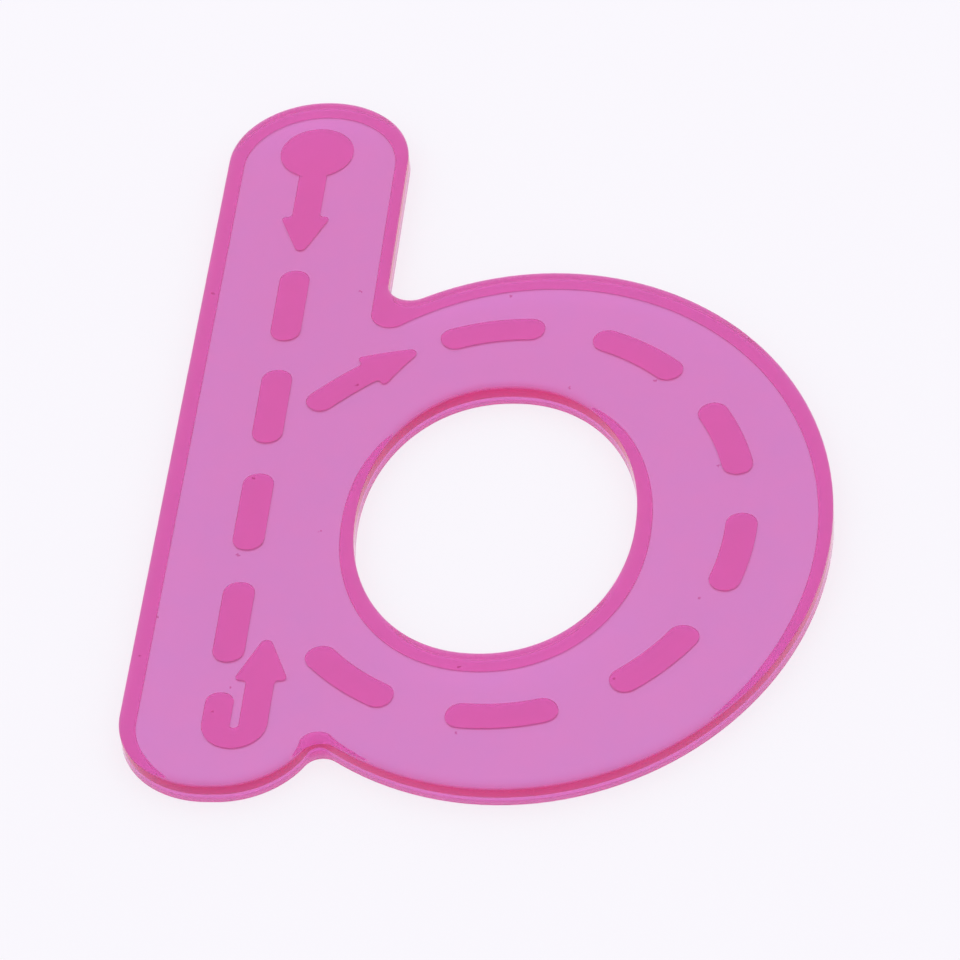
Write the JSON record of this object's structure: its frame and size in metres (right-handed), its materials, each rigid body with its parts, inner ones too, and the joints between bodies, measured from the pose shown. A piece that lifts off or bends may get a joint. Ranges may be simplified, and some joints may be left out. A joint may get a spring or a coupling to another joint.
{
  "type": "lettering stencil",
  "caption": "Flat lower case letter b tracing guide of clear pink plastic, with a raised rim, dashes and arrows moulded under it.",
  "frame": {"origin": "middle of the letter's footprint, on the surface that it lies on", "axes": "+Y up the letter towards the top of the stem, +X to the right towards the bowl, +Z out of the flat top face"},
  "size_m": [0.0798, 0.12, 0.003],
  "materials": {
    "pink_plate": "clear dyed acrylic, polished",
    "pink_relief": "clear dyed acrylic, the raised underside relief of the same moulding"
  },
  "bodies": {
    "root": {"base_plate": "pink_plate", "outer_rim": "pink_relief", "counter_rim": "pink_relief", "start_dot": "pink_relief", "start_arrow": "pink_relief", "stem_dash_1": "pink_relief", "stem_dash_2": "pink_relief", "stem_dash_3": "pink_relief", "stem_dash_4": "pink_relief", "hook_arrow": "pink_relief", "branch_arrow": "pink_relief", "bowl_dash_1": "pink_relief", "bowl_dash_2": "pink_relief", "bowl_dash_3": "pink_relief", "bowl_dash_4": "pink_relief", "bowl_dash_5": "pink_relief", "bowl_dash_6": "pink_relief", "bowl_dash_7": "pink_relief"}
  },
  "joints": []
}
